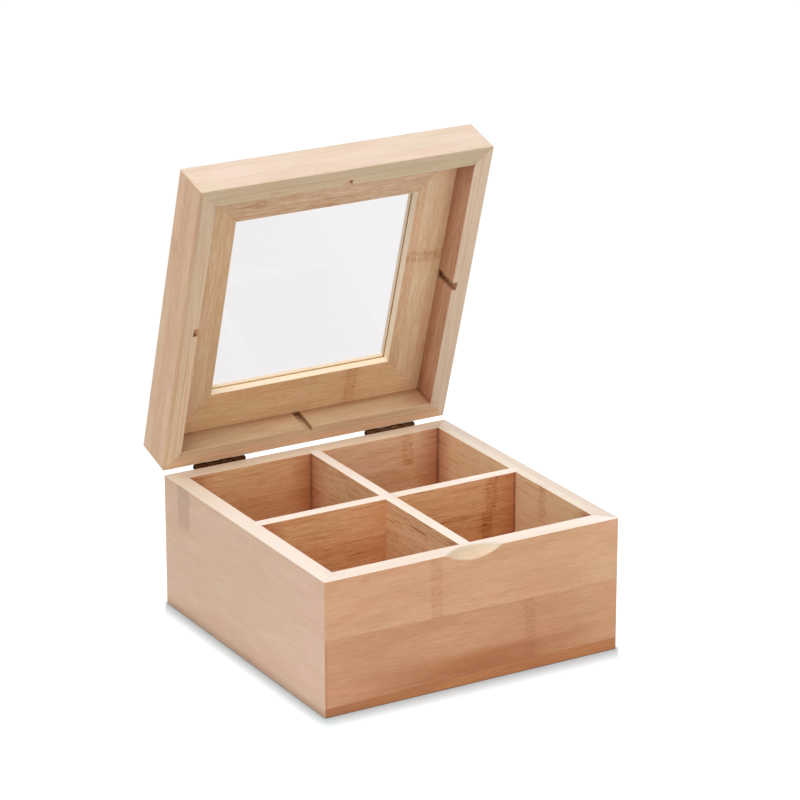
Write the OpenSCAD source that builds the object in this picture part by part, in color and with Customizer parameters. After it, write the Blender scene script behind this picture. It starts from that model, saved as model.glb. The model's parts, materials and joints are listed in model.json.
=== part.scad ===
// Bamboo box with four compartments and a hinged lid that holds a window.
// X runs along the front, +Y points to the back and +Z up. The origin is the centre of the
// footprint, on the face that the box rests on. Sizes are in millimetres and degrees.

/* [Box] */
// Width along the front
box_w = 160; // [140:1:240]
// Depth from front to back
box_d = 160; // [140:1:240]
// Height of the lower box
base_h = 67.5; // [45:0.5:110]
// Height of the lid
lid_h = 22.2; // [20:0.2:40]
// Gap between the lower box and the closed lid
joint_gap = 0.3; // [0.2:0.1:1]
// Thickness of the walls and of the lid's rails
wall_t = 9.3; // [9:0.1:12]
// How far the lid stands open
open_angle = 73; // [0:1:180]

/* [Eased edges] */
// Radius of the four upright corners
corner_r = 1; // [0.4:0.1:3]
// Radius round the foot of the box and the top of the lid
edge_r = 0.8; // [0.3:0.1:2]
// Radius of the outer edges where the lid meets the box
rim_r = 0.5; // [0.2:0.1:1]
// Radius of the inner edges and of the dividers' top edges
arris_r = 0.3; // [0.1:0.1:0.6]

/* [Bottom and dividers] */
// Thickness of the bottom panel
bottom_t = 5; // [3:0.5:8]
// Width of the rebate that the bottom panel is let into
rebate_w = 4.5; // [3:0.5:6]
// Thickness of the dividers
divider_t = 5.8; // [5:0.2:8]
// Width of the grooves in the walls and lid that the dividers' tongues slide into
groove_w = 4.5; // [3:0.1:4.8]
// Depth of those grooves
groove_d = 2.8; // [2:0.1:4]

/* [Thumb scoop] */
// Length of the scoop along the front
scoop_len = 30; // [20:1:50]
// How far the scoop comes down the front
scoop_drop = 4.4; // [2:0.1:8]
// How far the scoop reaches into the top edge
scoop_reach = 6.2; // [3:0.1:8]

/* [Window] */
// Width and depth of the window opening
window = 100; // [70:1:110]
// Thickness of the window frame
frame_t = 8; // [7:0.5:10]
// Thickness of the pane
pane_t = 1.5; // [1:0.1:3]
// Wood between the pane and the frame's outer face
pane_lip = 2.5; // [1.5:0.1:3]
// Depth of the groove that holds the pane
pane_groove = 3; // [2:0.5:5]
// Length of the tongue that joins the frame to the rails
frame_tongue = 2.8; // [2:0.1:4]
// Thickness of that tongue
frame_tongue_t = 3; // [2:0.5:4]

/* [Hinges] */
// Distance of each hinge's middle from the middle of the box
hinge_x = 48.5; // [30:0.5:50]
// Length of a hinge
hinge_len = 28; // [24:1:36]
// Height of a leaf, from the pin's axis to its edge
leaf_h = 10; // [9:0.5:14]
// Thickness of a leaf
leaf_t = 0.6; // [0.6:0.1:1]
// Diameter of the pin
pin_d = 1.6; // [1.6:0.1:2.4]
// Gap round the pin in the knuckles that turn on it
pin_gap = 0.05; // [0.02:0.01:0.1]
// Knuckles on one hinge, taken in turn by the lid's leaf and the box's leaf
knuckles = 4; // [4:2:6]
// Gap between two knuckles
knuckle_gap = 0.2; // [0.1:0.1:0.4]

/* [Screws] */
// Distance of each screw from the middle of the hinge
screw_x = 8.75; // [6:0.25:9]
// Distance of each screw from the pin's axis
screw_z = 6.2; // [5:0.1:7]
// Length of a screw
screw_len = 8; // [6:0.5:8]
// Diameter of the screw's shank
screw_d = 1.9; // [1.6:0.1:2]
// Diameter of the countersunk head
head_d = 3.4; // [3.2:0.1:3.5]

/* [Hidden] */

// Colours
bamboo = [0.80, 0.62, 0.45];
bamboo_pale = [0.85, 0.69, 0.52];
bamboo_deep = [0.74, 0.54, 0.37];
bronze = [0.24, 0.17, 0.12];
clear = [0.88, 0.92, 0.93, 0.35];

// Facets on round parts, and straight steps in each eased edge
$fn = 48;
ease_steps = 3;
// How far a cutter runs past the face that it opens
over = 1;

// Heights where the lid and the dividers meet
lid_z = base_h + joint_gap;
divider_h = base_h - bottom_t;

// Space between the walls, and the room that the tongues leave at the end of a groove
inner_w = box_w - 2 * wall_t;
inner_d = box_d - 2 * wall_t;
tongue_room = 0.1;

// Window frame: width of a member between the rails and the opening, with its tongue
member_x = (inner_w - window) / 2;
member_y = (inner_d - window) / 2;
frame_tongue_z = (frame_t - frame_tongue_t) / 2;
pane_room = 0.3;
pane_size = window + 2 * (pane_groove - pane_room);

// Hinge: the barrel stands just clear of the back face, on the joint between box and lid
bore_r = pin_d / 2 + pin_gap;
barrel_r = bore_r + leaf_t;
barrel_clear = 0.05;
axis_back = barrel_r + barrel_clear;
axis_y = box_d / 2 + axis_back;
axis_z = base_h + joint_gap / 2;
knuckle_pitch = hinge_len / knuckles;
notch_gap = 0.3;
leaf_corner_r = 1.5;
pin_head = 0.5;

// Screw: head cone, tip and the cross in the head
head_h = (head_d - screw_d) / 2;
tip_len = 1.8;
tip_d = 0.4;
cross_len = 2.1;
cross_w = 0.45;
cross_depth = 0.5;

// Scoop: a round cutter laid along the line from the foot of the cut to its back edge
scoop_tilt = atan(scoop_drop / scoop_reach);
scoop_sag = scoop_drop * cos(scoop_tilt);
scoop_r = (pow(scoop_len / 2, 2) + pow(scoop_sag, 2)) / (2 * scoop_sag);
scoop_cut = 3 * (scoop_drop + scoop_reach);

// Points of a quarter round or part of one, from one angle to another, or a sharp corner
function arc(centre, r, from, to) = r == 0 ? [centre] : [
    for (i = [0 : ease_steps])
        let (a = from + (to - from) * i / ease_steps)
        centre + r * [cos(a), sin(a)]
];

// One board of a mitred frame. It runs along X, with its outer face at y = 0 and its foot at
// z = 0. The outline is its section, with y across the board and z up it.
module mitred_board(length, depth, outline, corner = 0) {
    tall = max([for (p = outline) p[1]]);
    intersection() {
        rotate([90, 0, 90])
            translate([0, 0, -length / 2])
                linear_extrude(length)
                    polygon(outline);
        translate([0, 0, -over])
            linear_extrude(tall + 2 * over)
                polygon(concat(
                    arc([length / 2 - corner, corner], corner, -90, -45),
                    [[length / 2 - depth, depth], [depth - length / 2, depth]],
                    arc([corner - length / 2, corner], corner, -135, -90)
                ));
    }
}

// Section of a wall: eased at the outer edges and the inner top edge, with the bottom's rebate
wall_section = concat(
    arc([edge_r, edge_r], edge_r, 180, 270),
    [[wall_t - rebate_w, 0], [wall_t - rebate_w, bottom_t], [wall_t, bottom_t]],
    arc([wall_t - arris_r, base_h - arris_r], arris_r, 0, 90),
    arc([rim_r, base_h - rim_r], rim_r, 90, 180)
);

// Section of a lid rail: eased at the rim and the top, with the groove for the window frame
rail_groove_z = lid_h - frame_t + frame_tongue_z;
rail_groove_y = wall_t - frame_tongue - tongue_room;
rail_section = concat(
    arc([rim_r, rim_r], rim_r, 180, 270),
    arc([wall_t - arris_r, arris_r], arris_r, 270, 360),
    [
        [wall_t, rail_groove_z],
        [rail_groove_y, rail_groove_z],
        [rail_groove_y, rail_groove_z + frame_tongue_t],
        [wall_t, rail_groove_z + frame_tongue_t],
        [wall_t, lid_h]
    ],
    arc([edge_r, lid_h - edge_r], edge_r, 90, 180)
);

// Section of a window frame member: a tongue outside, the pane's groove inside
pane_z = frame_t - pane_lip - pane_t;
function member_section(width) = let (far = frame_tongue + width) concat(
    [[frame_tongue, 0]],
    arc([far - arris_r, arris_r], arris_r, 270, 360),
    [
        [far, pane_z],
        [far - pane_groove, pane_z],
        [far - pane_groove, pane_z + pane_t],
        [far, pane_z + pane_t]
    ],
    arc([far - arris_r, frame_t - arris_r], arris_r, 0, 90),
    [
        [frame_tongue, frame_t],
        [frame_tongue, frame_tongue_z + frame_tongue_t],
        [0, frame_tongue_z + frame_tongue_t],
        [0, frame_tongue_z],
        [frame_tongue, frame_tongue_z]
    ]
);

// Section of a divider, eased along its top edges
divider_section = concat(
    [[-divider_t / 2, 0], [divider_t / 2, 0]],
    arc([divider_t / 2 - arris_r, divider_h - arris_r], arris_r, 0, 90),
    arc([arris_r - divider_t / 2, divider_h - arris_r], arris_r, 90, 180)
);

// Puts a board's outer face on one side of a frame: 0 is the front, then right, back and left
module on_side(side, out_x, out_y) {
    reach = side % 2 == 0 ? out_y : out_x;
    rotate([0, 0, 90 * side])
        translate([0, -reach, 0])
            children();
}

// Turns what is drawn on the closed box about the hinge pins, with the lid
module opened() {
    translate([0, axis_y, axis_z])
        rotate([-open_angle, 0, 0])
            translate([0, -axis_y, -axis_z])
                children();
}

// Groove up the middle of a board's inner face
module divider_groove(from, to) {
    translate([-groove_w / 2, wall_t - groove_d, from])
        cube([groove_w, groove_d + over, to - from]);
}

module wall(side) {
    length = side % 2 == 0 ? box_w : box_d;
    on_side(side, box_w / 2, box_d / 2)
        difference() {
            mitred_board(length, wall_t, wall_section, corner_r);
            divider_groove(bottom_t, base_h + over);
        }
}

module rail(side) {
    length = side % 2 == 0 ? box_w : box_d;
    translate([0, 0, lid_z])
        on_side(side, box_w / 2, box_d / 2)
            difference() {
                mitred_board(length, wall_t, rail_section, corner_r);
                divider_groove(-over, lid_h - frame_t);
            }
}

module frame_member(side) {
    length = (side % 2 == 0 ? inner_w : inner_d) + 2 * frame_tongue;
    width = side % 2 == 0 ? member_y : member_x;
    color(bamboo_deep)
        opened()
            translate([0, 0, lid_z + lid_h - frame_t])
                on_side(side, inner_w / 2 + frame_tongue, inner_d / 2 + frame_tongue)
                    mitred_board(length, width + frame_tongue, member_section(width));
}

// A divider along X, with its tongues, halved where the other one crosses it
module divider(span, notch_z) {
    tongue = span + 2 * (groove_d - tongue_room);
    translate([0, 0, bottom_t])
        difference() {
            union() {
                rotate([90, 0, 90])
                    translate([0, 0, -span / 2])
                        linear_extrude(span)
                            polygon(divider_section);
                translate([-tongue / 2, -groove_w / 2, 0])
                    cube([tongue, groove_w, divider_h]);
            }
            translate([-divider_t / 2, -divider_t, notch_z])
                cube([divider_t, 2 * divider_t, divider_h / 2 + over]);
        }
}

// Round cutter for the thumb scoop, laid across the front top edge
module scoop_cutter() {
    translate([0, -box_d / 2, base_h])
        rotate([scoop_tilt - 90, 0, 0])
            translate([0, scoop_sag - scoop_r, 0])
                cylinder(h = scoop_cut, r = scoop_r, center = true, $fn = 180);
}

// A screw that points along +Z, with its head's flat face at z = 0
module screw_body() {
    cylinder(h = head_h, d1 = head_d, d2 = screw_d);
    translate([0, 0, head_h])
        cylinder(h = screw_len - head_h - tip_len, d = screw_d);
    translate([0, 0, screw_len - tip_len])
        cylinder(h = tip_len, d1 = screw_d, d2 = tip_d);
}

module screw() {
    difference() {
        screw_body();
        for (turn = [0, 90])
            rotate([0, 0, turn])
                translate([-cross_len / 2, -cross_w / 2, -over])
                    cube([cross_len, cross_w, over + cross_depth]);
    }
}

// Places children at both screws of one leaf: way is -1 for the box's leaf, 1 for the lid's
module at_screws(centre, way) {
    for (side = [-1, 1])
        translate([centre + side * screw_x, box_d / 2 + leaf_t, axis_z + way * screw_z])
            rotate([90, 0, 0])
                children();
}

// Places children at both screws of both hinges
module at_all_screws(way) {
    for (centre = [-hinge_x, hinge_x])
        at_screws(centre, way)
            children();
}

// A hinge leaf on the back face. Its knuckles are the ones numbered first, first + 2 and on,
// counted from the left, and the leaf is cut back behind the other leaf's knuckles.
module hinge_leaf(centre, way, first, bore) {
    start = centre - hinge_len / 2;
    notch_h = barrel_r + notch_gap;
    difference() {
        union() {
            translate([0, box_d / 2 + leaf_t, axis_z])
                rotate([90, 0, 0])
                    linear_extrude(leaf_t)
                        leaf_outline(centre, way);
            for (i = [first : 2 : knuckles - 1])
                translate([start + i * knuckle_pitch + knuckle_gap / 2, axis_y, axis_z])
                    rotate([0, 90, 0])
                        cylinder(h = knuckle_pitch - knuckle_gap, r = barrel_r);
        }
        for (i = [1 - first : 2 : knuckles - 1])
            translate([
                start + i * knuckle_pitch - knuckle_gap / 2,
                box_d / 2 - over,
                axis_z - notch_h
            ])
                cube([knuckle_pitch + knuckle_gap, leaf_t + 2 * over, 2 * notch_h]);
        translate([start - over, axis_y, axis_z])
            rotate([0, 90, 0])
                cylinder(h = hinge_len + 2 * over, r = bore);
        at_screws(centre, way)
            screw_body();
    }
}

// Outline of a leaf from the pin's axis to its rounded far corners
module leaf_outline(centre, way) {
    half = hinge_len / 2 - knuckle_gap / 2;
    translate([centre - half, way < 0 ? leaf_corner_r - leaf_h : 0])
        square([2 * half, leaf_h - leaf_corner_r]);
    translate([centre - half + leaf_corner_r, way < 0 ? -leaf_h : 0])
        square([2 * (half - leaf_corner_r), leaf_h]);
    for (side = [-1, 1])
        translate([centre + side * (half - leaf_corner_r), way * (leaf_h - leaf_corner_r)])
            circle(leaf_corner_r);
}

module front_wall() {
    color(bamboo)
        difference() {
            wall(0);
            scoop_cutter();
        }
}

module right_wall() {
    color(bamboo)
        wall(1);
}

module back_wall() {
    color(bamboo)
        difference() {
            wall(2);
            at_all_screws(-1)
                screw_body();
        }
}

module left_wall() {
    color(bamboo_pale)
        wall(3);
}

module bottom_panel() {
    w = inner_w + 2 * rebate_w;
    d = inner_d + 2 * rebate_w;
    color(bamboo)
        translate([-w / 2, -d / 2, 0])
            cube([w, d, bottom_t]);
}

// The long divider is notched from below and sits over the cross divider
module long_divider() {
    color(bamboo_pale)
        rotate([0, 0, 90])
            divider(inner_d, -over);
}

module cross_divider() {
    color(bamboo_pale)
        divider(inner_w, divider_h / 2);
}

module base_leaf(centre) {
    color(bronze)
        hinge_leaf(centre, -1, 1, pin_d / 2);
}

module lid_leaf(centre) {
    color(bronze)
        opened()
            hinge_leaf(centre, 1, 0, bore_r);
}

module pin(centre) {
    length = hinge_len + 2 * pin_head;
    color(bronze)
        translate([centre - length / 2, axis_y, axis_z])
            rotate([0, 90, 0])
                cylinder(h = length, d = pin_d);
}

module base_screws(centre) {
    color(bronze)
        at_screws(centre, -1)
            screw();
}

module lid_screws(centre) {
    color(bronze)
        opened()
            at_screws(centre, 1)
                screw();
}

module lid_front_rail() {
    color(bamboo_pale)
        opened()
            rail(0);
}

module lid_right_rail() {
    color(bamboo_pale)
        opened()
            rail(1);
}

module lid_back_rail() {
    color(bamboo_pale)
        opened()
            difference() {
                rail(2);
                at_all_screws(1)
                    screw_body();
            }
}

module lid_left_rail() {
    color(bamboo_pale)
        opened()
            rail(3);
}

module window_pane() {
    color(clear)
        opened()
            translate([-pane_size / 2, -pane_size / 2, lid_z + lid_h - pane_lip - pane_t])
                cube([pane_size, pane_size, pane_t]);
}

front_wall();
back_wall();
left_wall();
right_wall();
bottom_panel();
long_divider();
cross_divider();
base_leaf(-hinge_x);  // left_hinge_base_leaf
base_leaf(hinge_x);  // right_hinge_base_leaf
pin(-hinge_x);  // left_hinge_pin
pin(hinge_x);  // right_hinge_pin
base_screws(-hinge_x);  // left_hinge_base_screws
base_screws(hinge_x);  // right_hinge_base_screws
lid_front_rail();
lid_back_rail();
lid_left_rail();
lid_right_rail();
frame_member(0);  // window_frame_front
frame_member(2);  // window_frame_back
frame_member(3);  // window_frame_left
frame_member(1);  // window_frame_right
window_pane();
lid_leaf(-hinge_x);  // left_hinge_lid_leaf
lid_leaf(hinge_x);  // right_hinge_lid_leaf
lid_screws(-hinge_x);  // left_hinge_lid_screws
lid_screws(hinge_x);  // right_hinge_lid_screws
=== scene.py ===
"""A bamboo box with four compartments and a hinged lid that holds a window, standing open on a white table.

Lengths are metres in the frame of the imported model: X along the front, +Y to the back, +Z up.
Patterns are written in millimetres on each board: x along its grain, y in from its outer face, z across it.
"""

import json
import math

import bmesh
import bpy
import numpy as np
from mathutils import Matrix, Vector


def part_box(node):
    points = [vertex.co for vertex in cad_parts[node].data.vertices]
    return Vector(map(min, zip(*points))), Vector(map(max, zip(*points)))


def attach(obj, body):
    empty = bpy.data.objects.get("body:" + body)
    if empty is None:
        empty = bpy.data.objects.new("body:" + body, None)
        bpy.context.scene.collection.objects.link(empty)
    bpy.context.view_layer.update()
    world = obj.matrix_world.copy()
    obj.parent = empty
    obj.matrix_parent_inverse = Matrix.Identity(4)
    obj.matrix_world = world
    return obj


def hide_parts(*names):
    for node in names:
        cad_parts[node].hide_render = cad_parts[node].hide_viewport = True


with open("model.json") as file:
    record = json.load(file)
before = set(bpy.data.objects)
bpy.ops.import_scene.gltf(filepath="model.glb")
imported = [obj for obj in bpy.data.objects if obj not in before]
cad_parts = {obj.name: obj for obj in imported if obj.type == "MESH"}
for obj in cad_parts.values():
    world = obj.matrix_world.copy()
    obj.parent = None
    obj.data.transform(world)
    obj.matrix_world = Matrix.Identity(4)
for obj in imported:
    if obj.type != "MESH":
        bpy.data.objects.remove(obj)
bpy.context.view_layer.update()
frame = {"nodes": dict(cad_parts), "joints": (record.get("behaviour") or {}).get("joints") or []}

# Camera: in front of the box, to its left and a little above it, with a long lens that keeps
# upright edges nearly parallel. It looks at a point inside the open box.
camera_azimuth = math.radians(-30.415)
camera_elevation = math.radians(19.447)
camera_distance = 1.734
camera_aim = Vector((0.0091, 0.0040, 0.1136))

camera_back = Vector((
    math.sin(camera_azimuth) * math.cos(camera_elevation),
    -math.cos(camera_azimuth) * math.cos(camera_elevation),
    math.sin(camera_elevation),
))
camera_data = bpy.data.cameras.new("camera")
camera_data.lens = 163.07
camera_data.sensor_width = 36
camera = bpy.data.objects.new("camera", camera_data)
bpy.context.scene.collection.objects.link(camera)
camera.location = camera_aim + camera_distance * camera_back
camera.rotation_euler = (-camera_back).to_track_quat("-Z", "Y").to_euler()
bpy.context.scene.camera = camera

# Table and backdrop: one white sheet. The camera, mirrors and glass see it glow white a short way
# from the box on, so that only the soft shadow close to the box's foot is left. That shadow is partly
# painted: close to the box they see the sheet darker than it is, and the glow stops at a reach set for each
# side.
floor_reach = 6.0
floor_white = (0.90, 0.91, 0.92, 1)
floor_seen = (0.465, 0.507, 0.532, 1)
floor_black = (0, 0, 0, 1)
glow_near, glow_far = 0.80, 1.02
fade_from, fade_to = 0.14, 0.38
shadow_from, shadow_to = -0.14, 0.94
shadow_reach = {"front": 0.0228, "left": 0.0145, "right": 0.004, "back": 0.004}
sight_x, sight_y = -math.sin(camera_azimuth), math.cos(camera_azimuth)
box_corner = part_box("front_wall")[1].x


def plug(tree, socket, value):
    """Gives a node's input its value: a plain one is set, and a socket or a field is linked."""
    if isinstance(value, Field):
        value = value.socket
    if isinstance(value, bpy.types.NodeSocket):
        tree.links.new(value, socket)
    else:
        socket.default_value = value


def add(tree, kind, inputs=(), **settings):
    """A new shader node of that kind. inputs holds (name or number of the input, value) pairs."""
    made = tree.nodes.new("ShaderNode" + kind)
    for name, value in settings.items():
        setattr(made, name, value)
    for key, value in inputs:
        plug(tree, made.inputs[key], value)
    return made


class Field:
    """A number or vector that changes over a surface: a socket that plain arithmetic works on."""

    def __init__(self, tree, socket):
        self.tree = tree
        self.socket = socket

    def math(self, operation, *others):
        made = add(self.tree, "Math", enumerate((self, *others)), operation=operation)
        return Field(self.tree, made.outputs[0])

    def __add__(self, other):
        return self.math("ADD", other)

    def __sub__(self, other):
        return self.math("SUBTRACT", other)

    def __mul__(self, other):
        return self.math("MULTIPLY", other)

    def __rsub__(self, other):
        return (self * -1) + other

    def __abs__(self):
        return self.math("ABSOLUTE")

    def over(self, other):
        """1 where this is greater than the other, and 0 elsewhere."""
        return self.math("GREATER_THAN", other)

    def least(self, other):
        return self.math("MINIMUM", other)

    def most(self, other):
        return self.math("MAXIMUM", other)

    def rise(self, low, high):
        """A smooth step: 0 up to low, 1 from high on. With low over high it falls instead."""
        ends = [(0, self), (1, low), (2, high)]
        made = add(self.tree, "MapRange", ends, interpolation_type="SMOOTHSTEP")
        return Field(self.tree, made.outputs[0])

    def near(self, place, reach):
        """1 at that value, falling smoothly to 0 at the reach to each side of it."""
        return abs(self - place).rise(reach, 0)

    def parts(self):
        """The three numbers of a vector."""
        made = add(self.tree, "SeparateXYZ", [(0, self)])
        return [Field(self.tree, socket) for socket in made.outputs]


def new_material(name):
    """A material with nodes, emptied: the material, its tree and its output node."""
    material = bpy.data.materials.new(name)
    material.use_nodes = True
    tree = material.node_tree
    tree.nodes.clear()
    return material, tree, tree.nodes.new("ShaderNodeOutputMaterial")


def blend_colours(tree, share, first, second, kind="MIX"):
    """The first colour mixed with the second by that share, or multiplied by it."""
    made = add(tree, "Mix", [(0, share), (6, first), (7, second)], data_type="RGBA", blend_type=kind)
    return Field(tree, made.outputs[2])


def eyes(tree):
    """1 for rays from the camera, a mirror or glass, and 0 for light that only falls on things."""
    path = add(tree, "LightPath").outputs
    seen = Field(tree, path["Is Camera Ray"])
    return seen.most(path["Is Glossy Ray"]).most(path["Is Transmission Ray"])


floor_mesh = bpy.data.meshes.new("table")
corners = [(-floor_reach, -floor_reach, 0), (floor_reach, -floor_reach, 0),
           (floor_reach, floor_reach, 0), (-floor_reach, floor_reach, 0)]
floor_mesh.from_pydata(corners, [], [(0, 1, 2, 3)])
table = bpy.data.objects.new("table", floor_mesh)
bpy.context.scene.collection.objects.link(table)
floor_paint, floor_tree, floor_output = new_material("white_sheet")
floor_eyes = eyes(floor_tree)
floor_x, floor_y, _ = Field(floor_tree, add(floor_tree, "TexCoord").outputs["Object"]).parts()

# Distances off the box's foot, over which the painted contact shadow fades out. Its right and back ends
# follow the line of sight
off_left, off_front = (floor_x * -1 - box_corner).most(0), (floor_y * -1 - box_corner).most(0)
off_right = (floor_x + off_front * (sight_x / sight_y) - box_corner).most(0)
off_back = (floor_y + off_left * (sight_y / sight_x) - box_corner).most(0)
off_x = (off_left * (1 / shadow_reach["left"])).most(off_right * (1 / shadow_reach["right"]))
off_y = (off_front * (1 / shadow_reach["front"])).most(off_back * (1 / shadow_reach["back"]))
lit = (off_x * off_x + off_y * off_y).math("SQRT").rise(shadow_from, shadow_to)
faded = abs(floor_x).most(abs(floor_y)).rise(fade_from, fade_to)
seen = blend_colours(floor_tree, faded, floor_seen, floor_black)
floor_colour = blend_colours(floor_tree, floor_eyes, floor_white, seen)
floor_cloth = add(floor_tree, "BsdfDiffuse", [("Color", floor_colour)])
glow = lit * (faded * (glow_far - glow_near) + glow_near)
floor_glow = add(floor_tree, "Emission", [("Strength", floor_eyes * glow)])
floor_both = add(floor_tree, "AddShader", [(0, floor_cloth.outputs[0]), (1, floor_glow.outputs[0])])
plug(floor_tree, floor_output.inputs["Surface"], floor_both.outputs[0])
floor_mesh.materials.append(floor_paint)

# Light: an even white room, a broad soft lamp overhead and a little in front, and two weak ones
# from the front and the left. Seen directly, the room is white.
room_strength = 0.50
room_colour = (0.97, 0.985, 1.0, 1)

world = bpy.data.worlds.new("room")
bpy.context.scene.world = world
world.use_nodes = True
room_tree = world.node_tree
room_tree.nodes.clear()
room_light = add(room_tree, "Background", [("Color", room_colour), ("Strength", room_strength)])
room_white = add(room_tree, "Background", [("Color", (1, 1, 1, 1)), ("Strength", glow_far)])
room_choice = add(room_tree, "MixShader", [
    (0, eyes(room_tree)), (1, room_light.outputs[0]), (2, room_white.outputs[0]),
])
room_output = room_tree.nodes.new("ShaderNodeOutputWorld")
plug(room_tree, room_output.inputs["Surface"], room_choice.outputs[0])


def soft_lamp(name, place, aim, size, watts, colour):
    """A square lamp of that size, turned from its place to its aim, that no picture shows."""
    data = bpy.data.lights.new(name, "AREA")
    data.shape = "SQUARE"
    data.size = size
    data.energy = watts
    data.color = colour
    lamp = bpy.data.objects.new(name, data)
    bpy.context.scene.collection.objects.link(lamp)
    lamp.location = place
    lamp.rotation_euler = (Vector(aim) - Vector(place)).to_track_quat("-Z", "Y").to_euler()
    lamp.visible_camera = False


soft_lamp("overhead", (-0.35, -0.45, 1.7), (0, 0, 0.1), 1.3, 23, (1.0, 0.985, 0.96))
soft_lamp("front", (0.1, -1.9, 0.55), (0, 0, 0.1), 1.2, 5, (1.0, 0.985, 0.97))
soft_lamp("left", (-1.6, -0.7, 0.9), (0, 0, 0.1), 1.0, 1.5, (1.0, 0.98, 0.96))

# Front wall: a flat-pressed bamboo board of two plies, three strips wide, with mitred ends glued
# to the side walls. Its top edge is sanded pale, and a round cutter has scooped out the thumb hold.
MM = 1000
wall_low, wall_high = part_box("front_wall")
box_half = wall_high.x * MM
wall_t = (wall_high.y - wall_low.y) * MM
base_h = wall_high.z * MM
inner_half = box_half - wall_t
ply_line = 0.5 * wall_t
far_off = 900
none = -far_off


def new_group(name, inputs, outputs):
    """A shader node group with those sockets, as {name: start value or type}, and its input fields."""
    kinds = {float: "NodeSocketFloat", tuple: "NodeSocketVector", list: "NodeSocketColor"}
    tree = bpy.data.node_groups.new(name, "ShaderNodeTree")
    for label, start in inputs.items():
        socket = tree.interface.new_socket(label, in_out="INPUT", socket_type=kinds[type(start)])
        socket.default_value = start
    for label, kind in outputs.items():
        tree.interface.new_socket(label, in_out="OUTPUT", socket_type=kinds[kind])
    source = tree.nodes.new("NodeGroupInput")
    return tree, [Field(tree, source.outputs[label]) for label in inputs]


def finish_group(tree, outputs):
    """Links the group's results, as {name: field}, to its output node."""
    target = tree.nodes.new("NodeGroupOutput")
    for label, value in outputs.items():
        plug(tree, target.inputs[label], value)


def stretched(place, along, across, detail=2.0, rough=0.5):
    """Noise from -1 to 1 whose waves are that many millimetres long along the grain and across it."""
    tree = place.tree
    scale = (1 / along, 1 / across, 1 / across)
    scaled = add(tree, "VectorMath", [(0, place), (1, scale)], operation="MULTIPLY")
    noise = add(tree, "TexNoise", [
        ("Vector", scaled.outputs[0]), ("Scale", 1.0), ("Detail", detail), ("Roughness", rough),
    ])
    return Field(tree, noise.outputs[0]) * 2 - 1


def by_strip(choices, above_first, above_second):
    """The number of the three that belongs to the strip."""
    low, middle, top = choices.parts()
    return low + above_first * (middle - low) + above_second * (top - middle)


pinkish = (1.02, 0.985, 0.985, 1)
yellowish = (0.985, 1.01, 0.955, 1)


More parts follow.
